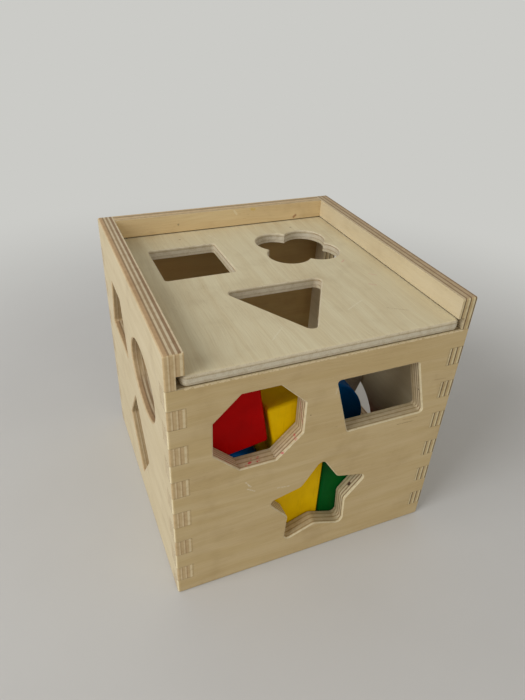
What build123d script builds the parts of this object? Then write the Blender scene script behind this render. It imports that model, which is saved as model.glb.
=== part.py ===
from build123d import *
import os
from math import cos, hypot, radians, sin, sqrt

os.makedirs("parts", exist_ok=True)

# Shape-sorting box: a finger-jointed plywood cube with a sliding lid and twelve loose blocks.
# Millimetres. Z is up, the front wall faces -Y, and the origin is the middle of the underside.

# The box
box_width = 140.0
box_depth = 140.0
box_height = 140.0
wall_thickness = 8.0
outer_edge_radius = 1.0

# The groove that the lid slides in, under the rim of the side and back walls
rim_height = 10.0
lid_groove_height = 6.0
lid_groove_depth = 3.4

# The lid
lid_thickness = 5.2
lid_lift = 0.3
lid_edge_gap = 1.9
lid_corner_radius = 3.0
lid_edge_radius = 1.4

# The floor panel, held in a groove round the four walls
floor_thickness = 6.0
floor_height = 3.0
floor_groove_depth = 4.0
floor_gap = 0.2

# Finger joints at the four corners: divisions in the height of the front wall, odd so that
# the front and back walls have a finger at the bottom and at the top
finger_divisions = 13

# The twelve holes
square_side = 36.0
quatrefoil_lobe_radius = 11.5
quatrefoil_lobe_offset = 8.6
triangle_side = 52.0
octagon_across = 41.5
parallelogram_width = 41.8
parallelogram_height = 31.0
parallelogram_shift = 9.0
star_tip_radius = 28.5
star_waist_radius = 16.6
oval_length = 47.0
oval_height = 34.0
trapezoid_base = 40.0
trapezoid_top = 22.2
trapezoid_height = 29.5
rhombus_height = 55.3
rhombus_width = 42.8
circle_diameter = 41.5
rectangle_width = 32.0
rectangle_height = 52.0
half_round_diameter = 52.0

sharp_corner = 0.6
soft_corner = 1.5
triangle_corner = 3.0
star_tip_corner = 2.5
star_waist_corner = 4.0
hole_arris = 0.5

# Where the holes lie on each wall: along it from its middle, as seen from outside, and either
# below the front wall's top edge or, for the lowest hole, above the underside
front_wall_top = box_height - rim_height - lid_groove_height
front_places = {
    "octagon": (-30.8, front_wall_top - 29.7),
    "parallelogram": (29.5, front_wall_top - 29.0),
    "star": (2.2, 37.0),
}
left_places = {
    "oval": (25.3, front_wall_top - 25.4),
    "trapezoid": (-30.7, front_wall_top - 23.3),
    "rhombus": (-0.6, 42.6),
}
right_places = {
    "circle": (-23.0, front_wall_top - 26.4),
    "rectangle": (35.0, front_wall_top - 36.0),
    "half_round": (0.0, 40.0),
}

# On the lid: to the right and to the back of its middle
lid_places = {"square": (-31.6, 24.0), "quatrefoil": (29.0, 25.4), "triangle": (-1.5, -27.8)}

# The blocks: each is its hole's outline less the clearance, cut from one thickness of wood
block_thickness = 25.0
block_clearance = 1.0
block_edge_radius = 1.5
block_gap = 0.3
wall_gap = 0.5

# How the blocks lie in the heap
square_lean = 9.0
trapezoid_lean = 10.5
trapezoid_nesting = 0.6
oval_lean = 55.6
oval_room = 1.4
octagon_lean = 24.5

inner_width = box_width - 2 * wall_thickness
inner_depth = box_depth - 2 * wall_thickness
floor_top = floor_height + floor_thickness
finger_pitch = front_wall_top / finger_divisions


# Outlines of the twelve shapes, with sharp corners, centred on their own middles


def octagon():
    return RegularPolygon(octagon_across / 2, 8, major_radius=False, rotation=22.5)


def triangle():
    return RegularPolygon(triangle_side / sqrt(3), 3, rotation=-90)


def parallelogram():
    top_middle = -parallelogram_shift / 2
    bottom_middle = parallelogram_shift / 2
    half_width = parallelogram_width / 2
    half_height = parallelogram_height / 2
    return Polygon(
        (bottom_middle - half_width, -half_height),
        (bottom_middle + half_width, -half_height),
        (top_middle + half_width, half_height),
        (top_middle - half_width, half_height),
        align=None,
    )


def trapezoid():
    half_height = trapezoid_height / 2
    return Polygon(
        (-trapezoid_base / 2, -half_height),
        (trapezoid_base / 2, -half_height),
        (trapezoid_top / 2, half_height),
        (-trapezoid_top / 2, half_height),
        align=None,
    )


def rhombus():
    return Polygon(
        (0, -rhombus_height / 2),
        (rhombus_width / 2, 0),
        (0, rhombus_height / 2),
        (-rhombus_width / 2, 0),
        align=None,
    )


def star():
    points = []
    for step in range(10):
        radius = star_waist_radius if step % 2 else star_tip_radius
        angle = radians(90 + 36 * step)
        points.append((radius * cos(angle), radius * sin(angle)))
    return Polygon(*points, align=None)


def quatrefoil():
    outline = Rectangle(2 * quatrefoil_lobe_offset, 2 * quatrefoil_lobe_offset)
    for x in (-quatrefoil_lobe_offset, quatrefoil_lobe_offset):
        for y in (-quatrefoil_lobe_offset, quatrefoil_lobe_offset):
            outline += Pos(x, y) * Circle(quatrefoil_lobe_radius)
    return outline


def half_round():
    radius = half_round_diameter / 2
    upper_half = Pos(0, radius / 2) * Rectangle(half_round_diameter, radius)
    return Pos(0, -radius / 2) * (Circle(radius) & upper_half)


# Each shape's sharp outline and the radius of its corners
shapes = {
    "square": (Rectangle(square_side, square_side), soft_corner),
    "quatrefoil": (quatrefoil(), sharp_corner),
    "triangle": (triangle(), triangle_corner),
    "octagon": (octagon(), sharp_corner),
    "parallelogram": (parallelogram(), soft_corner),
    "star": (star(), star_tip_corner),
    "oval": (Ellipse(oval_length / 2, oval_height / 2), 0),
    "trapezoid": (trapezoid(), soft_corner),
    "rhombus": (rhombus(), soft_corner),
    "circle": (Circle(circle_diameter / 2), 0),
    "rectangle": (Rectangle(rectangle_width, rectangle_height), soft_corner),
    "half_round": (half_round(), soft_corner),
}


def rounded_corners(outline, radius):
    """Round an outline's corners; a star's waists are rounder than its tips."""
    corners = outline.vertices()
    if not corners or not radius:
        return outline
    if len(corners) == 10:
        waist_limit = (star_waist_radius + star_tip_radius) / 2
        waists = corners.filter_by(lambda corner: hypot(corner.X, corner.Y) < waist_limit)
        outline = fillet(waists, star_waist_corner)
        tips = outline.vertices().filter_by(lambda corner: hypot(corner.X, corner.Y) > waist_limit)
        return fillet(tips, radius)
    return fillet(corners, radius)


def hole_outline(name):
    outline, corner = shapes[name]
    return rounded_corners(outline, corner)


def block_outline(name):
    """The hole's outline drawn in by the clearance all round."""
    if name == "oval":
        return Ellipse(oval_length / 2 - block_clearance, oval_height / 2 - block_clearance)
    outline, corner = shapes[name]
    smaller = offset(outline, -block_clearance, kind=Kind.INTERSECTION)
    return rounded_corners(smaller, max(corner, block_edge_radius + 0.1) if corner else 0)


# The box


def outer_form():
    """The closed cube with its outer edges rounded."""
    cube = Box(box_width, box_depth, box_height, align=(Align.CENTER, Align.CENTER, Align.MIN))
    return fillet(cube.edges(), outer_edge_radius)


def lid_groove():
    """The space that the lid slides in, open at the front."""
    width = inner_width + 2 * lid_groove_depth
    length = box_depth / 2 + inner_depth / 2 + lid_groove_depth
    groove = Box(width, length, lid_groove_height, align=(Align.CENTER, Align.MIN, Align.MIN))
    return Pos(0, -box_depth / 2, front_wall_top) * groove


def floor_groove():
    width = inner_width + 2 * floor_groove_depth
    depth = inner_depth + 2 * floor_groove_depth
    groove = Box(width, depth, floor_thickness + floor_gap, align=(Align.CENTER, Align.CENTER, Align.MIN))
    return Pos(0, 0, floor_height) * groove


def cross_wall(height):
    """A front or back wall with its fingers, standing across the middle of the box."""
    wall = Box(inner_width, wall_thickness, height, align=(Align.CENTER, Align.CENTER, Align.MIN))
    finger = Box(wall_thickness, wall_thickness, finger_pitch)
    for end in (-1, 1):
        for division in range(0, finger_divisions, 2):
            finger_x = end * (box_width - wall_thickness) / 2
            wall += Pos(finger_x, 0, (division + 0.5) * finger_pitch) * finger
    return wall


def side_wall():
    """A side wall with its fingers and the two ends of its rim, standing in the middle of the box."""
    wall = Box(wall_thickness, inner_depth, box_height, align=(Align.CENTER, Align.CENTER, Align.MIN))
    finger = Box(wall_thickness, wall_thickness, finger_pitch)
    rim_end = Box(wall_thickness, wall_thickness, box_height - front_wall_top)
    for end in (-1, 1):
        finger_y = end * (box_depth - wall_thickness) / 2
        for division in range(1, finger_divisions, 2):
            wall += Pos(0, finger_y, (division + 0.5) * finger_pitch) * finger
        wall += Pos(0, finger_y, (front_wall_top + box_height) / 2) * rim_end
    return wall


def cut_holes(panel, outer_plane, thickness, places):
    """Cut shaped holes through a panel from its outer face and ease their outer arris."""
    for name, (along, up) in places.items():
        plane = outer_plane.shift_origin(outer_plane.from_local_coords((along, up, 0)))
        panel -= extrude(plane * hole_outline(name), amount=-thickness)
    outer_face = panel.faces().filter_by(outer_plane).sort_by(SortBy.AREA)[-1]
    arris = [edge for wire in outer_face.inner_wires() for edge in wire.edges()]
    return chamfer(arris, hole_arris)


front_face = Plane(origin=(0, -box_depth / 2, 0), x_dir=(1, 0, 0), z_dir=(0, -1, 0))
left_face = Plane(origin=(-box_width / 2, 0, 0), x_dir=(0, -1, 0), z_dir=(-1, 0, 0))
right_face = Plane(origin=(box_width / 2, 0, 0), x_dir=(0, 1, 0), z_dir=(1, 0, 0))
lid_bottom = front_wall_top + lid_lift
lid_face = Plane(origin=(0, 0, lid_bottom + lid_thickness), x_dir=(1, 0, 0), z_dir=(0, 0, 1))

cube = outer_form()
grooves = lid_groove() + floor_groove()
to_front = Pos(0, -(box_depth - wall_thickness) / 2, 0)
to_back = Pos(0, (box_depth - wall_thickness) / 2, 0)
to_left = Pos(-(box_width - wall_thickness) / 2, 0, 0)
to_right = Pos((box_width - wall_thickness) / 2, 0, 0)

front_wall = (to_front * cross_wall(front_wall_top)) & cube
front_wall = cut_holes(front_wall - grooves, front_face, wall_thickness, front_places)
back_wall = ((to_back * cross_wall(box_height)) & cube) - grooves
left_wall = ((to_left * side_wall()) & cube) - grooves
left_wall = cut_holes(left_wall, left_face, wall_thickness, left_places)
right_wall = ((to_right * side_wall()) & cube) - grooves
right_wall = cut_holes(right_wall, right_face, wall_thickness, right_places)


def floor_panel():
    reach = 2 * (floor_groove_depth - floor_gap)
    bottom_centre = (Align.CENTER, Align.CENTER, Align.MIN)
    panel = Box(inner_width + reach, inner_depth + reach, floor_thickness, align=bottom_centre)
    return Pos(0, 0, floor_height) * panel


def lid():
    """The sliding panel: flush with the front wall, its other edges inside the groove."""
    half_width = inner_width / 2 + lid_groove_depth - lid_edge_gap
    rear = inner_depth / 2 + lid_groove_depth - lid_edge_gap
    length = rear + box_depth / 2
    panel = Box(2 * half_width, length, lid_thickness, align=(Align.CENTER, Align.MIN, Align.MIN))
    panel = Pos(0, -box_depth / 2, lid_bottom) * panel
    panel = fillet(panel.edges().filter_by(Axis.Z), lid_corner_radius)
    rims = panel.faces().filter_by(Axis.Z).edges()
    panel = fillet(rims, lid_edge_radius)
    return cut_holes(panel, lid_face, lid_thickness, lid_places)


# The blocks: made flat with the outline in X and Y, then turned and set down in the heap


def flat_block(name, turn=0):
    """A block lying on its broad side, its outline turned in its own plane."""
    block = extrude(Rot(0, 0, turn) * block_outline(name), amount=block_thickness)
    ends = block.faces().filter_by(Axis.Z).edges()
    return fillet(ends, block_edge_radius)


def facing_front(name, turn=0):
    """A block standing on edge, its broad side to the front."""
    return Rot(90, 0, 0) * flat_block(name, turn)


def set_down(block, left, front, bottom):
    low = block.bounding_box().min
    return Pos(left - low.X, front - low.Y, bottom - low.Z) * block


def against_right(block, front, bottom):
    width = block.bounding_box().size.X
    return set_down(block, right_limit - width, front, bottom)


def against_back(block, bottom):
    """A block in the left rear corner."""
    depth = block.bounding_box().size.Y
    return set_down(block, left_limit, back_limit - depth, bottom)


def right_of(block):
    return block.bounding_box().max.X + block_gap


def top_of(block):
    return block.bounding_box().max.Z + block_gap


left_limit = -inner_width / 2 + wall_gap
right_limit = inner_width / 2 - wall_gap
front_limit = -inner_depth / 2 + wall_gap
back_limit = inner_depth / 2 - wall_gap
on_floor = floor_top + block_gap
second_row = front_limit + block_thickness + block_gap
third_row = second_row + block_thickness + block_gap

# Front row, left: a quatrefoil lying flat, a circle on it and a square leaning on the left wall
blocks = {}
blocks["quatrefoil"] = set_down(flat_block("quatrefoil"), left_limit, front_limit, on_floor)
blocks["circle"] = set_down(
    facing_front("circle"), left_limit, front_limit, top_of(blocks["quatrefoil"])
)


def leaning_square():
    """The square block, tangent to the top of the circle and touching the left wall."""
    lean = radians(square_lean)
    half_side = square_side / 2 - block_clearance
    circle_radius = circle_diameter / 2 - block_clearance
    circle_middle = blocks["circle"].center()
    reach = circle_radius + block_gap + half_side
    middle_x = left_limit + half_side * (cos(lean) + sin(lean))
    along = (middle_x - circle_middle.X + reach * sin(lean)) / cos(lean)
    middle_z = circle_middle.Z + reach * cos(lean) + along * sin(lean)
    block = Rot(0, -square_lean, 0) * facing_front("square")
    block = Pos(0, front_limit - block.bounding_box().min.Y, 0) * block
    return Pos(middle_x, 0, middle_z) * block


blocks["square"] = leaning_square()

# Front row, middle: a rectangle and a half round standing on end, and on the rectangle a
# trapezoid on end with its base to the front, leaning towards the square
blocks["rectangle"] = set_down(
    facing_front("rectangle"), right_of(blocks["circle"]), front_limit, on_floor
)
blocks["half_round"] = set_down(
    facing_front("half_round", -90), right_of(blocks["rectangle"]), front_limit, on_floor
)
trapezoid_left = blocks["square"].bounding_box().max.X - trapezoid_nesting
trapezoid_block = Rot(0, -trapezoid_lean, 0) * Rot(0, 90, 0) * flat_block("trapezoid")
blocks["trapezoid"] = set_down(
    trapezoid_block, trapezoid_left, front_limit, top_of(blocks["rectangle"])
)

# Second row, right: a parallelogram standing on its long side and an oval on it
parallelogram_block = facing_front("parallelogram")
blocks["parallelogram"] = against_right(parallelogram_block, second_row, on_floor)
blocks["oval"] = set_down(
    Rot(0, oval_lean, 0) * facing_front("oval"),
    right_of(blocks["trapezoid"]) + oval_room,
    second_row,
    top_of(blocks["parallelogram"]),
)

# Third row, right: a rhombus lying flat and an octagon leaning on the right wall
blocks["rhombus"] = against_right(flat_block("rhombus", 90), third_row, on_floor)
octagon_block = Rot(0, -octagon_lean, 0) * facing_front("octagon")
blocks["octagon"] = against_right(octagon_block, third_row, top_of(blocks["rhombus"]))

# Rear left: a star lying flat and a triangle on it
blocks["star"] = against_back(flat_block("star"), on_floor)
blocks["triangle"] = against_back(flat_block("triangle"), top_of(blocks["star"]))

nodes = {
    "front_wall": front_wall,
    "back_wall": back_wall,
    "left_wall": left_wall,
    "right_wall": right_wall,
    "floor_panel": floor_panel(),
    "lid": lid(),
}
for name, block in blocks.items():
    nodes[name + "_block"] = block

for name, shape in nodes.items():
    export_step(shape, "parts/" + name + ".step")
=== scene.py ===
import bpy
from mathutils import Matrix, Vector


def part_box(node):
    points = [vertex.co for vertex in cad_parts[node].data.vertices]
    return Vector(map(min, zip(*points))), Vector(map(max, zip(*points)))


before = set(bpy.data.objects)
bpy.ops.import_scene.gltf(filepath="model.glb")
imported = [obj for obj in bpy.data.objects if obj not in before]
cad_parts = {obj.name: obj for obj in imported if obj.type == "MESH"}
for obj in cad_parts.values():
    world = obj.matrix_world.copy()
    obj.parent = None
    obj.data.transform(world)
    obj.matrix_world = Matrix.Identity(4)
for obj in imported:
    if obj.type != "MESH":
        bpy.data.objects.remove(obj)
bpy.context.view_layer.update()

mmPerMetre = 1000.0

print("frame loaded:", len(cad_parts), "pieces")


def tint(red, green, blue):
    # a colour as it looks on a screen, 0 to 255, turned into a linear one
    linear = []
    for part in (red, green, blue):
        share = part / 255
        linear.append(share / 12.92 if share <= 0.04045 else ((share + 0.055) / 1.055) ** 2.4)
    return (*linear, 1.0)


class Signal:
    # one value inside a material, worked with as if it were a number
    def __init__(self, recipe, socket):
        self.recipe = recipe
        self.socket = socket

    def __add__(self, other):
        return self.recipe.reckon("ADD", self, other)

    def __radd__(self, other):
        return self.recipe.reckon("ADD", other, self)

    def __sub__(self, other):
        return self.recipe.reckon("SUBTRACT", self, other)

    def __rsub__(self, other):
        return self.recipe.reckon("SUBTRACT", other, self)

    def __mul__(self, other):
        return self.recipe.reckon("MULTIPLY", self, other)

    def __rmul__(self, other):
        return self.recipe.reckon("MULTIPLY", other, self)

    def __truediv__(self, other):
        return self.recipe.reckon("DIVIDE", self, other)

    def __rtruediv__(self, other):
        return self.recipe.reckon("DIVIDE", other, self)

    def __mod__(self, other):
        return self.recipe.reckon("FLOORED_MODULO", self, other)

    def __rmod__(self, other):
        return self.recipe.reckon("FLOORED_MODULO", other, self)

    def __gt__(self, other):
        return self.recipe.reckon("GREATER_THAN", self, other)

    def __lt__(self, other):
        return self.recipe.reckon("LESS_THAN", self, other)

    def __abs__(self):
        return self.recipe.reckon("ABSOLUTE", self)


class Recipe:
    # the nodes of a material or of the sky, and the one way in which they are added
    def __init__(self, owner):
        owner.use_nodes = True
        self.owner = owner
        self.tree = owner.node_tree
        self.tree.nodes.clear()

    def feed(self, socket, value):
        if isinstance(value, Signal):
            self.tree.links.new(value.socket, socket)
        else:
            socket.default_value = value

    def add(self, kind, settings=None, sockets=None, output=0):
        node = self.tree.nodes.new("ShaderNode" + kind)
        for name, value in (settings or {}).items():
            if name == "stops":
                ramp = node.color_ramp
                while len(ramp.elements) > 1:
                    ramp.elements.remove(ramp.elements[-1])
                ramp.elements[0].position = value[0][0]
                ramp.elements[0].color = value[0][1]
                for position, colour in value[1:]:
                    ramp.elements.new(position).color = colour
            else:
                setattr(node, name, value)
        for name, value in (sockets or {}).items():
            self.feed(node.inputs[name], value)
        return Signal(self, node.outputs[output]) if len(node.outputs) else None

    def reckon(self, operation, *values):
        return self.add("Math", {"operation": operation}, dict(enumerate(values)))

    def parts(self, vector):
        node = self.add("SeparateXYZ", None, {0: vector}).socket.node
        return [Signal(self, socket) for socket in node.outputs]

    def vector(self, x, y, z):
        return self.add("CombineXYZ", None, {0: x, 1: y, 2: z})

    def rise(self, value, low, high):
        # 0 below low and 1 above high, smooth between them
        settings = {"interpolation_type": "SMOOTHSTEP"}
        return self.add("MapRange", settings, {0: value, 1: low, 2: high, 3: 0.0, 4: 1.0})

    def fall(self, value, low, high):
        return 1 - self.rise(value, low, high)

    def mix(self, share, first, second):
        return self.add("Mix", {"data_type": "RGBA"}, {0: share, 6: first, 7: second}, output=2)

    def stain(self, share, first, second):
        # second darkens first as a stain does
        settings = {"data_type": "RGBA", "blend_type": "MULTIPLY"}
        return self.add("Mix", settings, {0: share, 6: first, 7: second}, output=2)

    def noise(self, place, detail=2.0, roughness=0.5):
        sockets = {"Vector": place, "Scale": 1.0, "Detail": detail, "Roughness": roughness}
        return self.add("TexNoise", None, sockets)

    def millimetres(self):
        # the place on the piece, in millimetres along its three axes
        place = self.add("TexCoord", None, None, output="Object")
        place = self.add("VectorMath", {"operation": "SCALE"}, {0: place, "Scale": mmPerMetre})
        return self.parts(place)

    def grainNoise(self, place, sizes, detail=2.0, roughness=0.5):
        # noise whose grains have the sizes given along the three axes
        stretched = [value / size for value, size in zip(place, sizes)]
        return self.noise(self.vector(*stretched), detail, roughness)

    def evenNoise(self, place, size, detail=2.0, roughness=0.5):
        return self.grainNoise(place, (size,) * 3, detail, roughness)

    def bump(self, look, height):
        # relief of the height given, on edges that are rounded where the look says how far
        sockets = {"Strength": look["bumpStrength"], "Distance": look["bumpDistance"], "Height": height}
        if "edgeRounding" in look:
            sockets["Normal"] = self.add("Bevel", {"samples": 4}, {"Radius": look["edgeRounding"]})
        return self.add("Bump", None, sockets)

    def seen(self):
        # 1 for the rays that look at a surface: straight, mirrored or through glass
        outputs = self.add("LightPath").socket.node.outputs
        direct, mirrored, through = [
            Signal(self, outputs[f"Is {kind} Ray"]) for kind in ("Camera", "Glossy", "Transmission")
        ]
        return self.reckon("MAXIMUM", self.reckon("MAXIMUM", direct, mirrored), through)

    def finish(self, colour, roughness, normal, constants):
        sockets = {"Base Color": colour, "Roughness": roughness, "Normal": normal, **constants}
        surface = self.add("BsdfPrincipled", None, sockets)
        self.add("OutputMaterial", None, {0: surface})
        return self.owner


def extent(nodeName, axis):
    # where a piece begins and ends along an axis, in millimetres
    return [round(corner[axis] * mmPerMetre, 3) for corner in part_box(nodeName)]


def cover(nodeName, material):
    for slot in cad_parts[nodeName].material_slots:
        slot.material = material


# Plywood. Each panel is one solid pattern: its plies lie one under the other from the outer
# face inwards, so faces show the face veneer and every cut edge shows the stripes.
plywood = {
    "plySoftness": 0.016,    # half the width of the change between plies, as a share of the thickness
    "onFace": (0.75, 0.92),  # how squarely a surface looks out of the panel to count as its face
    "endwise": (0.45, 0.85),  # how squarely it looks along the grain to count as end grain
    "inwards": (0.5, 0.9),   # how squarely it looks into the box to count as an inner face
    # the layers of the face's figure; change is how much a layer alters through the thickness
    "waves": {"length": 45.0, "width": 14.0, "change": 0.3, "detail": 2.0, "roughness": 0.5},
    "fibres": {"length": 16.0, "width": 0.42, "change": 1.0, "detail": 3.0, "roughness": 0.6},
    "streaks": {"length": 70.0, "width": 5.0, "change": 0.5, "detail": 3.0, "roughness": 0.55},
    "clouds": {"length": 38.0, "width": 26.0, "change": 0.2, "detail": 2.0, "roughness": 0.5},
    "flecks": {"length": 2.6, "width": 0.28, "change": 1.0, "detail": 1.0, "roughness": 0.5},
    "waveHeight": 7.0,
    "fibreFrom": 0.32,       # where the fibres begin to darken the face
    "streakRange": (0.34, 0.68),
    "cloudRange": (0.42, 0.75),
    "fleckRange": (0.63, 0.78),
    "fleckCloudRange": (0.35, 0.65),
    "plyWanderSize": 9.0,
    "poreSize": 0.32,
    "poreRange": (0.55, 0.75),
    "sawMarkSize": 2.4,
    "sawMarkRange": (0.4, 0.75),
    "sawMarkShare": 0.35,
    "soilSize": 22.0,
    "soilRange": (0.5, 0.8),
    "soilShare": 0.3,
    "markGapSize": 0.9,      # the gaps in a rubbed mark
    "markGapRange": (0.3, 0.55),
    "markWobble": 0.7,
    "markCore": 0.35,        # share of a mark's width at full strength
    "bumpStrength": 0.35,
    "bumpDistance": 0.00022,  # metres, as is the rounding
    "edgeRounding": 0.00035,
    "reliefOnEdges": 0.15,
    "reliefOfPores": 0.5,
    "reliefOfSeams": 1.2,
    "roughness": 0.62,
    "roughnessSpread": 0.25,
    "specular": 0.35,
    "fibreTint": tint(176, 150, 112),
    "fleckTint": tint(160, 124, 86),
    "sawTint": tint(206, 190, 160),
    "poreTint": tint(156, 134, 100),
    "soilTint": tint(196, 180, 158),
}
box = {
    "half": extent("front_wall", 0)[1],         # half the width of the box
    "jointStart": extent("back_wall", 1)[0],    # where a wall meets the one beside it
    "fingerPitch": 124.0 / 13,
    "fingersTop": 124.2,     # height at which the fingers give way to the rim
    "innerTop": (123.0, 124.5),  # heights between which the painted shade on a wall's inner face ends below the rim
}
glue = {
    "width": 0.12,
    "swelling": 0.3,         # wider by up to this where glue was pressed out
    "wander": 1.7,           # size of its thick and thin places
    "wanderRange": (0.35, 0.75),
    "fade": (0.4, 1.1),      # where the line thins out, as shares of its width
    "cornerMargin": 0.3,     # how far the line runs past the joint
    "rimMargin": 0.6,
    "outside": (1.0, 0.6),   # depths below the outer face where the lines at the finger ends fade in
    "tone": tint(96, 70, 48),
}


def bandStops(bands, softness):
    # a ramp's stops for the plies, each given as the depth where it ends and its colour
    stops = [(0.0, bands[0][1])]
    for (edge, colour), (_, following) in zip(bands, bands[1:]):
        stops += [(edge - softness, colour), (edge + softness, following)]
    return stops


def markMask(recipe, place, start, end, width):
    # a soft stroke from start to end, or a spot where they are the same point
    span = [b - a for a, b in zip(start, end)]
    lengthSquared = sum(step * step for step in span)
    offset = [value - a for value, a in zip(place, start)]
    if lengthSquared > 0:
        share = (offset[0] * span[0] + offset[1] * span[1] + offset[2] * span[2]) / lengthSquared
        share = recipe.reckon("MINIMUM", recipe.reckon("MAXIMUM", share, 0.0), 1.0)
        offset = [value - share * step for value, step in zip(offset, span)]
    squared = offset[0] * offset[0] + offset[1] * offset[1] + offset[2] * offset[2]
    return recipe.fall(recipe.reckon("SQRT", squared), width * plywood["markCore"], width)


def seamMask(recipe, axes, facesSideways):
    # the joints at the corners: a thin line of glue round every finger
    height = axes[2]
    row = height / box["fingerPitch"]
    rowGap = abs((row + 0.5) % 1.0 - 0.5) * box["fingerPitch"]
    oddRow = (row % 2.0) > 1.0
    jointStart = box["jointStart"]
    reach = jointStart - glue["cornerMargin"]
    nearSide, nearFront = [recipe.rise(abs(axis), reach, jointStart) for axis in axes[:2]]
    inCorner = nearSide * nearFront
    belowRim = recipe.fall(height, box["fingersTop"], box["fingersTop"] + glue["rimMargin"])
    lineWander = recipe.evenNoise(axes, glue["wander"])
    lineWidth = glue["width"] + recipe.rise(lineWander, *glue["wanderRange"]) * glue["swelling"]
    acrossRows = recipe.fall(rowGap / lineWidth, *glue["fade"]) * inCorner * belowRim
    alongWall, outwards = (axes[1], axes[0]) if facesSideways else (axes[0], axes[1])
    outerStart, outerEnd = [box["half"] - margin for margin in glue["outside"]]
    onOutside = recipe.rise(abs(outwards), outerStart, outerEnd)
    endGap = abs(abs(alongWall) - jointStart)
    rowShare = (1 - oddRow) if facesSideways else oddRow
    alongEnds = recipe.fall(endGap / lineWidth, *glue["fade"]) * rowShare * onOutside * belowRim
    return recipe.reckon("MAXIMUM", acrossRows, alongEnds)


def makePlywood(nodeName, look):
    recipe = Recipe(bpy.data.materials.new(nodeName + "Plywood"))
    axes = recipe.millimetres()
    facing = recipe.parts(recipe.add("NewGeometry", None, None, output="Normal"))
    depthAxis, grainAxis, crossAxis = look["axes"]
    along, across = axes[grainAxis], axes[crossAxis]
    low, high = extent(nodeName, depthAxis)
    outerFace = low if look["inward"] > 0 else high
    depth = (axes[depthAxis] - outerFace) * (look["inward"] / round(high - low, 3))
    onFace = recipe.rise(abs(facing[depthAxis]), *plywood["onFace"])

    def figure(layerName, crosswise):
        layer = plywood[layerName]
        level = depth * layer["change"] + look["seed"]
        place = recipe.vector(along / layer["length"], crosswise / layer["width"], level)
        return recipe.noise(place, layer["detail"], layer["roughness"])

    # slow waviness, so that no line is ruler-straight
    acrossWavy = across + (figure("waves", across) - 0.5) * plywood["waveHeight"]
    plyWander = recipe.evenNoise(axes, plywood["plyWanderSize"], 1.0)
    depthWavy = depth + (plyWander - 0.5) * look["plyWander"]

    # the face veneer: fine fibres, broad streaks, short flecks
    fibres = figure("fibres", acrossWavy)
    streaks = figure("streaks", acrossWavy)
    clouds = figure("clouds", across)
    flecks = recipe.rise(figure("flecks", across), *plywood["fleckRange"])
    flecks = flecks * recipe.rise(clouds, *plywood["fleckCloudRange"])
    warmth = recipe.rise(streaks, *plywood["streakRange"])
    face = recipe.mix(warmth, look["facePale"], look["faceWarm"])
    shade = recipe.rise(clouds, *plywood["cloudRange"]) * look["cloudShare"]
    face = recipe.mix(shade, face, look["faceShade"])
    face = recipe.stain((fibres - plywood["fibreFrom"]) * look["fibreShare"], face, plywood["fibreTint"])
    face = recipe.stain(flecks * look["fleckShare"], face, plywood["fleckTint"])

    # the cut edges: one set of plies beside the grain and one across it
    endwise = recipe.rise(abs(facing[grainAxis]), *plywood["endwise"])
    plySets = []
    for bands in (look["bands"], look["endBands"]):
        stops = bandStops(bands, plywood["plySoftness"])
        plySets.append(recipe.add("ValToRGB", {"stops": stops}, {0: depthWavy}))
    edge = recipe.mix(endwise, *plySets)
    pores = recipe.evenNoise(axes, plywood["poreSize"], 2.0, 0.7)
    sawMarks = recipe.evenNoise(axes, plywood["sawMarkSize"], 3.0, 0.6)
    sawMarks = recipe.rise(sawMarks, *plywood["sawMarkRange"])
    edge = recipe.stain(sawMarks * plywood["sawMarkShare"], edge, plywood["sawTint"])
    openPores = recipe.rise(pores, *plywood["poreRange"])
    edge = recipe.stain(openPores * look["poreShare"], edge, plywood["poreTint"])
    wood = recipe.mix(onFace, edge, face)

    seams = seamMask(recipe, axes, depthAxis == 0)
    wood = recipe.stain(seams * look["seamShare"], wood, glue["tone"])

    # handling: soft dirt and a few small marks
    soil = recipe.evenNoise(axes, plywood["soilSize"], 3.0, 0.6)
    soil = recipe.rise(soil, *plywood["soilRange"])
    wood = recipe.stain(soil * plywood["soilShare"], wood, plywood["soilTint"])
    smear = recipe.evenNoise(axes, plywood["markGapSize"])
    wobble = (smear - 0.5) * plywood["markWobble"]
    wobbly = [axes[0] + wobble, axes[1], axes[2] + wobble]
    brokenUp = recipe.rise(smear, *plywood["markGapRange"])
    for start, end, width, colour, strength in look["marks"]:
        mask = markMask(recipe, wobbly, start, end, width)
        wood = recipe.mix(mask * brokenUp * strength, wood, colour)

    # painted shade: the inner face below the lid is darkened, standing in for the shade deep inside the
    # box
    if look["paintedInnerShade"]:
        inside = recipe.rise(facing[depthAxis] * look["inward"], *plywood["inwards"])
        inside = inside * recipe.fall(axes[2], *box["innerTop"])
        wood = recipe.stain(inside, wood, look["paintedInnerShade"])

    relief = fibres * (onFace * look["grainRelief"] + plywood["reliefOnEdges"])
    relief = relief + pores * (1 - onFace) * plywood["reliefOfPores"] - seams * plywood["reliefOfSeams"]
    roughness = plywood["roughness"] + (fibres - 0.5) * plywood["roughnessSpread"]
    constants = {"Specular IOR Level": plywood["specular"]}
    return recipe.finish(wood, roughness, recipe.bump(plywood, relief), constants)


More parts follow.
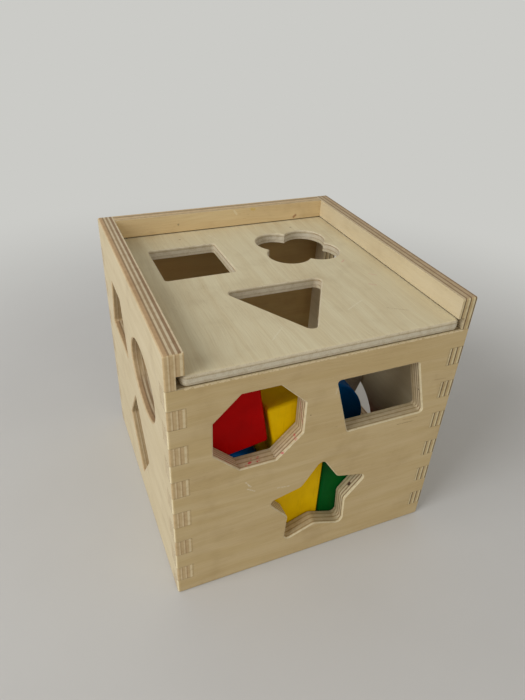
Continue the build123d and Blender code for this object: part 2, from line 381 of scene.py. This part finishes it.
# What the panels share. Each entry of bands is the depth, as a share of the thickness, where a
# ply ends, and its colour. A mark is its start, its end, its width, its colour and its strength.
# The axes are those of the thickness, of the grain and across the grain; inward is the way in
# along the first.
wallTones = {
    "facePale": tint(214, 199, 165), "faceWarm": tint(208, 192, 156), "faceShade": tint(198, 180, 144),
    "plyWander": 0.01, "cloudShare": 0.35, "fibreShare": 0.35, "fleckShare": 0.25,
    "seamShare": 0.13, "poreShare": 0.2, "grainRelief": 0.5, "marks": [], "paintedInnerShade": None,
    "bands": [
        (0.1, tint(216, 202, 166)), (0.19, tint(172, 150, 112)), (0.42, tint(200, 184, 150)),
        (0.5, tint(168, 146, 108)), (0.72, tint(202, 186, 152)), (0.8, tint(170, 150, 114)),
        (1.0, tint(194, 179, 144)),
    ],
    "endBands": [
        (0.16, tint(232, 218, 180)), (0.23, tint(136, 104, 72)), (0.36, tint(222, 208, 174)),
        (0.43, tint(146, 114, 82)), (0.56, tint(220, 206, 172)), (0.62, tint(150, 120, 88)),
        (0.8, tint(208, 192, 156)), (0.86, tint(166, 140, 106)), (1.0, tint(202, 184, 148)),
    ],
}
panelLooks = {
    "front_wall": {
        **wallTones, "axes": (1, 0, 2), "inward": 1, "seed": 3.7,
        # painted shade: these face tones are darker and yellower than the other walls', standing in for
        # the weaker, warmer light on the front
        "facePale": tint(208, 186, 141), "faceWarm": tint(201, 177, 128), "faceShade": tint(188, 162, 115),
        "marks": [
            # red rubbed off on the octagon's lower edges
            ((-30.2, -67.8, 73.6), (-29.4, -67.6, 73.6), 0.8, tint(198, 36, 60), 0.85),
            ((-36.1, -68.6, 73.6), (-36.1, -68.6, 73.6), 0.6, tint(196, 60, 78), 0.7),
            ((-34.3, -67.6, 73.6), (-33.4, -67.2, 73.6), 0.8, tint(198, 36, 60), 0.85),
            ((-32.5, -65.5, 73.6), (-32.5, -65.5, 73.6), 0.5, tint(190, 50, 66), 0.7),
            ((-29.8, -65.8, 73.6), (-29.2, -65.4, 73.6), 0.7, tint(192, 44, 62), 0.8),
            ((-12.9, -67.5, 82.9), (-12.7, -66.9, 83.1), 0.8, tint(206, 60, 80), 0.8),
            ((-13.3, -69.0, 82.4), (-13.0, -69.6, 82.8), 0.8, tint(206, 60, 80), 0.8),
            ((-19.5, -69.2, 76.2), (-19.1, -69.7, 76.6), 0.7, tint(206, 70, 90), 0.75),
            ((-48.6, -68.7, 82.7), (-47.0, -68.5, 81.2), 0.5, tint(190, 80, 78), 0.6),
            ((-45.3, -68.3, 79.5), (-43.8, -68.6, 78.0), 0.6, tint(190, 70, 74), 0.65),
            ((-10.0, -64.1, 100.4), (-10.0, -68.5, 90.1), 0.45, tint(204, 120, 122), 0.7),
            ((-10.0, -66.2, 101.0), (-10.0, -66.2, 88.0), 0.3, tint(160, 110, 92), 0.6),
            # knots and specks on cut edges
            ((22.2, -66.2, 37.0), (22.8, -66.0, 37.8), 1.1, tint(54, 14, 4), 1.0),
            ((51.0, -68.1, 92.6), (51.1, -68.1, 92.9), 0.9, tint(84, 50, 30), 0.9),
            ((-22.3, -67.6, 73.6), (-22.3, -67.6, 73.6), 0.5, tint(110, 78, 56), 0.8),
            # light scratches, dents and specks on the face
            ((-36.5, -70.0, 64.5), (-34.0, -70.0, 61.0), 0.5, tint(226, 216, 192), 0.7),
            ((-35.5, -70.0, 60.0), (-32.0, -70.0, 57.5), 0.5, tint(222, 212, 188), 0.6),
            ((-20.5, -70.0, 55.0), (-14.5, -70.0, 54.2), 0.55, tint(220, 208, 184), 0.55),
            ((41.0, -70.0, 75.3), (50.5, -70.0, 75.0), 0.4, tint(150, 120, 80), 0.6),
            ((44.0, -70.0, 77.4), (52.5, -70.0, 77.2), 0.35, tint(158, 130, 90), 0.5),
            ((-7.2, -70.0, 95.3), (-7.2, -70.0, 95.3), 0.5, tint(116, 84, 54), 0.8),
            ((4.0, -70.0, 104.0), (4.6, -70.0, 107.0), 0.6, tint(216, 202, 172), 0.55),
            ((57.5, -70.0, 98.0), (64.0, -70.0, 97.6), 0.4, tint(168, 140, 98), 0.5),
            # the arris under the lid, rubbed pale
            ((-62.0, -70.0, 123.7), (66.0, -70.0, 123.7), 0.7, tint(232, 214, 176), 0.75),
        ],
    },
    "back_wall": {
        **wallTones, "axes": (1, 0, 2), "inward": -1, "seed": 11.2,
        # painted light: these face tones are lighter and yellower than the side walls', standing in for
        # the warm light from the front on the inner rim
        "facePale": tint(230, 208, 162), "faceWarm": tint(223, 198, 150), "faceShade": tint(212, 184, 136),
        "bands": [
            (0.28, tint(205, 179, 137)), (0.46, tint(160, 135, 101)), (0.8, tint(205, 180, 139)),
            (0.9, tint(174, 148, 112)), (1.0, tint(214, 192, 150)),
        ],
        # painted shade inside the box, on the inner face below the lid
        "paintedInnerShade": tint(214, 200, 170),
        "marks": [
            ((-27.5, 62.0, 134.3), (-27.5, 62.0, 134.3), 0.8, tint(90, 82, 72), 0.85),
            ((5.8, 62.0, 139.0), (7.4, 62.0, 136.6), 0.8, tint(236, 224, 194), 0.6),
            ((16.6, 62.0, 139.0), (18.0, 62.0, 138.8), 1.2, tint(212, 182, 76), 0.65),
            ((45.2, 62.0, 132.3), (44.2, 62.0, 131.4), 1.1, tint(148, 92, 56), 0.75),
        ],
    },
    "left_wall": {
        **wallTones, "axes": (0, 1, 2), "inward": 1, "seed": 23.1,
        "bands": [
            (0.08, tint(204, 180, 140)), (0.27, tint(188, 156, 116)), (0.36, tint(152, 126, 92)),
            (0.48, tint(208, 190, 156)), (0.62, tint(160, 134, 100)), (0.74, tint(208, 192, 160)),
            (0.9, tint(148, 120, 88)), (1.0, tint(216, 198, 164)),
        ],
        "endBands": [
            (0.22, tint(202, 176, 132)), (0.3, tint(216, 196, 156)), (0.35, tint(182, 152, 110)),
            (0.5, tint(202, 177, 134)), (0.58, tint(216, 196, 156)), (0.64, tint(180, 150, 108)),
            (0.8, tint(201, 175, 132)), (0.93, tint(222, 204, 164)), (1.0, tint(200, 174, 128)),
        ],
    },
    "right_wall": {
        **wallTones, "axes": (0, 1, 2), "inward": -1, "seed": 31.9,
        "bands": [
            (0.1, tint(192, 168, 130)), (0.2, tint(142, 114, 82)), (0.42, tint(186, 162, 126)),
            (0.52, tint(138, 110, 80)), (0.74, tint(188, 166, 130)), (0.84, tint(142, 116, 84)),
            (1.0, tint(202, 182, 146)),
        ],
        "endBands": [
            (0.1, tint(208, 188, 146)), (0.165, tint(98, 70, 40)), (0.3, tint(218, 202, 160)),
            (0.45, tint(196, 173, 128)), (0.515, tint(98, 70, 40)), (0.65, tint(218, 202, 160)),
            (0.8, tint(196, 173, 128)), (0.865, tint(92, 66, 38)), (0.97, tint(218, 202, 160)),
            (1.0, tint(194, 170, 126)),
        ],
    },
    "lid": {
        **wallTones, "axes": (2, 1, 0), "inward": -1, "seed": 41.5,
        "plyWander": 0.008, "grainRelief": 0.9, "seamShare": 0.0, "poreShare": 0.55, "fibreShare": 0.45,
        "facePale": tint(220, 209, 174), "faceWarm": tint(214, 200, 163), "faceShade": tint(202, 186, 149),
        "bands": [
            (0.12, tint(214, 202, 172)), (0.22, tint(176, 154, 120)), (0.6, tint(214, 202, 176)),
            (0.7, tint(188, 170, 138)), (1.0, tint(208, 196, 166)),
        ],
        "endBands": [
            (0.2, tint(208, 196, 168)), (0.32, tint(190, 176, 146)), (0.66, tint(212, 203, 180)),
            (0.78, tint(198, 186, 160)), (1.0, tint(208, 197, 172)),
        ],
        "marks": [
            # pink rub marks, pale scratches and dark specks
            ((43.0, -27.0, 129.5), (45.5, -29.0, 129.5), 0.7, tint(206, 156, 136), 0.5),
            ((49.0, -17.0, 129.5), (51.5, -19.5, 129.5), 0.6, tint(210, 160, 140), 0.5),
            ((42.6, -0.6, 129.5), (44.6, 1.2, 129.5), 0.8, tint(208, 156, 136), 0.6),
            ((20.0, -46.0, 129.5), (31.0, -40.0, 129.5), 0.4, tint(232, 226, 204), 0.4),
            ((-22.0, -58.0, 129.5), (-14.0, -50.0, 129.5), 0.4, tint(230, 224, 202), 0.4),
            ((38.0, -50.0, 129.5), (46.0, -55.0, 129.5), 0.4, tint(172, 150, 112), 0.5),
            ((-30.2, 52.2, 129.5), (-29.6, 52.2, 129.5), 0.8, tint(130, 98, 66), 0.75),
            ((37.2, 51.2, 129.2), (37.8, 50.6, 128.4), 1.0, tint(110, 74, 50), 0.85),
            ((-12.4, 53.7, 129.5), (-9.8, 46.0, 129.5), 0.6, tint(226, 216, 190), 0.45),
        ],
    },
    "floor_panel": {
        **wallTones, "axes": (2, 0, 1), "inward": -1, "seed": 53.3, "seamShare": 0.0,
    },
}
for nodeName, look in panelLooks.items():
    cover(nodeName, makePlywood(nodeName, look))
print("plywood made for", len(panelLooks), "panels")


# Paint on the blocks: a thin brushed coat with the wood's grain just showing through
paint = {
    "roughness": 0.42,
    "roughnessSpread": 0.15,
    "coat": 0.04,
    "coatRoughness": 0.3,
    "specular": 0.03,
    "patchSize": 16.0,
    "patchRange": (0.35, 0.7),
    "grainSizes": (0.9, 0.9, 12.0),
    "grainRange": (0.55, 0.8),
    "grainShare": 0.25,
    "grainTint": tint(190, 180, 170),
    "grainRelief": 0.6,
    "speckleSize": 0.5,
    "speckleRelief": 0.25,
    "bumpStrength": 0.25,
    "bumpDistance": 0.0002,  # metres, as is the rounding
    "edgeRounding": 0.0005,
    "colours": {
        "red": (tint(180, 0, 0), tint(166, 0, 0)),
        "yellow": (tint(238, 194, 0), tint(226, 180, 0)),
        "green": (tint(0, 90, 30), tint(0, 78, 26)),
        "blue": (tint(0, 84, 150), tint(0, 74, 136)),
    },
}


def makePaint(name, colours):
    recipe = Recipe(bpy.data.materials.new(name))
    place = recipe.millimetres()
    patches = recipe.evenNoise(place, paint["patchSize"], 3.0, 0.6)
    grain = recipe.grainNoise(place, paint["grainSizes"], 3.0, 0.6)
    speckle = recipe.evenNoise(place, paint["speckleSize"], 2.0, 0.6)
    colour = recipe.mix(recipe.rise(patches, *paint["patchRange"]), *colours)
    openGrain = recipe.rise(grain, *paint["grainRange"])
    colour = recipe.stain(openGrain * paint["grainShare"], colour, paint["grainTint"])
    relief = grain * paint["grainRelief"] + speckle * paint["speckleRelief"]
    roughness = paint["roughness"] + (patches - 0.5) * paint["roughnessSpread"]
    constants = {
        "Coat Weight": paint["coat"],
        "Coat Roughness": paint["coatRoughness"],
        "Specular IOR Level": paint["specular"],
    }
    return recipe.finish(colour, roughness, recipe.bump(paint, relief), constants)


blockColours = {
    "red": ["square_block", "parallelogram_block", "triangle_block"],
    "yellow": ["rectangle_block", "trapezoid_block", "star_block"],
    "green": ["half_round_block", "quatrefoil_block", "rhombus_block"],
    "blue": ["oval_block", "circle_block"],
}
for colourName, blockNames in blockColours.items():
    coat = makePaint(colourName + "Paint", paint["colours"][colourName])
    for nodeName in blockNames:
        cover(nodeName, coat)
print("paint made")


# The one block left bare: pale close-grained wood
bareBlock = {
    "pale": tint(206, 196, 180),
    "warm": tint(190, 178, 158),
    "fibreTint": tint(190, 172, 144),
    "fibreRange": (0.4, 0.8),
    "fibreShare": 0.4,
    "fibreSizes": (0.6, 14.0, 0.6),
    "ringRange": (0.35, 0.7),
    "ringSizes": (4.0, 40.0, 4.0),
    "bumpStrength": 0.3,
    "bumpDistance": 0.0002,  # metres
    "roughness": 0.5,
    "roughnessSpread": 0.2,
}


def makeBareWood():
    recipe = Recipe(bpy.data.materials.new("bareBlockWood"))
    place = recipe.millimetres()
    fibres = recipe.grainNoise(place, bareBlock["fibreSizes"], 3.0, 0.6)
    rings = recipe.grainNoise(place, bareBlock["ringSizes"])
    ringTone = recipe.rise(rings, *bareBlock["ringRange"])
    colour = recipe.mix(ringTone, bareBlock["pale"], bareBlock["warm"])
    darkFibres = recipe.rise(fibres, *bareBlock["fibreRange"]) * bareBlock["fibreShare"]
    colour = recipe.stain(darkFibres, colour, bareBlock["fibreTint"])
    roughness = bareBlock["roughness"] + (fibres - 0.5) * bareBlock["roughnessSpread"]
    return recipe.finish(colour, roughness, recipe.bump(bareBlock, fibres), {})


cover("octagon_block", makeBareWood())
print("bare wood made")


# Floor: plain and pale; far from the box it runs into the backdrop's own colour
ground = {
    "size": 8.0,             # metres, as are the two fades
    "colour": tint(204, 203, 200),
    "shade": tint(186, 183, 178),
    "shadeShare": 0.3,
    "mottleScale": 18.0,     # patches to the metre
    "mottleFrom": 0.4,
    "roughness": 0.55,
    "backdrop": tint(203, 203, 199),
    "fadeStart": 0.17,
    "fadeEnd": 0.5,
}


def makeFloor():
    half = ground["size"] / 2
    mesh = bpy.data.meshes.new("floor")
    corners = [(-half, -half, 0), (half, -half, 0), (half, half, 0), (-half, half, 0)]
    mesh.from_pydata(corners, [], [(0, 1, 2, 3)])
    floor = bpy.data.objects.new("floor", mesh)
    bpy.context.scene.collection.objects.link(floor)
    recipe = Recipe(bpy.data.materials.new("floorPaint"))
    x, y = recipe.parts(recipe.add("TexCoord", None, None, output="Object"))[:2]
    away = recipe.reckon("SQRT", x * x + y * y)
    scale = ground["mottleScale"]
    mottle = recipe.noise(recipe.vector(x * scale, y * scale, 0.0), 3.0)
    shaded = (mottle - ground["mottleFrom"]) * ground["shadeShare"]
    colour = recipe.mix(shaded, ground["colour"], ground["shade"])
    top = recipe.add("BsdfPrincipled", None, {"Base Color": colour, "Roughness": ground["roughness"]})
    backdrop = recipe.add("Emission", None, {"Color": ground["backdrop"], "Strength": 1.0})
    fade = recipe.rise(away, ground["fadeStart"], ground["fadeEnd"]) * recipe.seen()
    blend = recipe.add("MixShader", None, {0: fade, 1: top, 2: backdrop})
    recipe.add("OutputMaterial", None, {0: blend})
    mesh.materials.append(recipe.owner)


makeFloor()


# Light: a large soft lamp from the left, a weak warm one from the front and a plain grey sky
lights = {
    "window": {"place": (-1.3, -0.3, 0.9), "width": 0.9, "power": 15.0, "colour": (0.97, 0.98, 1.0)},
    "room": {"place": (0.35, -1.5, 0.75), "width": 1.2, "power": 2.5, "colour": (1.0, 0.9, 0.74)},
}
sky = {"colour": (1.0, 0.98, 0.95, 1.0), "strength": 0.41, "backdrop": ground["backdrop"]}


def makeLights():
    target = Vector((0, 0, box["half"] / mmPerMetre))
    for name, look in lights.items():
        lamp = bpy.data.lights.new(name, "AREA")
        lamp.shape = "SQUARE"
        lamp.size = look["width"]
        lamp.energy = look["power"]
        lamp.color = look["colour"]
        holder = bpy.data.objects.new(name, lamp)
        bpy.context.scene.collection.objects.link(holder)
        holder.location = look["place"]
        holder.rotation_euler = (target - Vector(look["place"])).to_track_quat("-Z", "Y").to_euler()
    world = bpy.data.worlds.new("room")
    bpy.context.scene.world = world
    recipe = Recipe(world)
    plain = recipe.add("Background", None, {"Color": sky["colour"], "Strength": sky["strength"]})
    shown = recipe.add("Background", None, {"Color": sky["backdrop"]})
    mixed = recipe.add("MixShader", None, {0: recipe.seen(), 1: plain, 2: shown})
    recipe.add("OutputWorld", None, {0: mixed})


makeLights()
print("light and floor made")


# The view: from the front and the left, looking down at the lid
view = {
    "place": (-0.10308, -0.22812, 0.25063),  # metres
    "forward": (0.34206, 0.75733, -0.55628),
    "right": (0.92173, -0.38556, 0.04186),
    "lens": 28.51,
    "sensor": 36.0,
    "nearest": 0.01,
}


def makeCamera():
    camera = bpy.data.cameras.new("camera")
    camera.sensor_width = view["sensor"]
    camera.lens = view["lens"]
    camera.clip_start = view["nearest"]
    holder = bpy.data.objects.new("camera", camera)
    bpy.context.scene.collection.objects.link(holder)
    forward = Vector(view["forward"]).normalized()
    right = (Vector(view["right"]) - forward * forward.dot(Vector(view["right"]))).normalized()
    up = right.cross(forward)
    turn = Matrix((right, up, -forward)).transposed()
    holder.matrix_world = Matrix.Translation(Vector(view["place"])) @ turn.to_4x4()
    bpy.context.scene.camera = holder


makeCamera()
bpy.context.scene.view_settings.view_transform = "Standard"
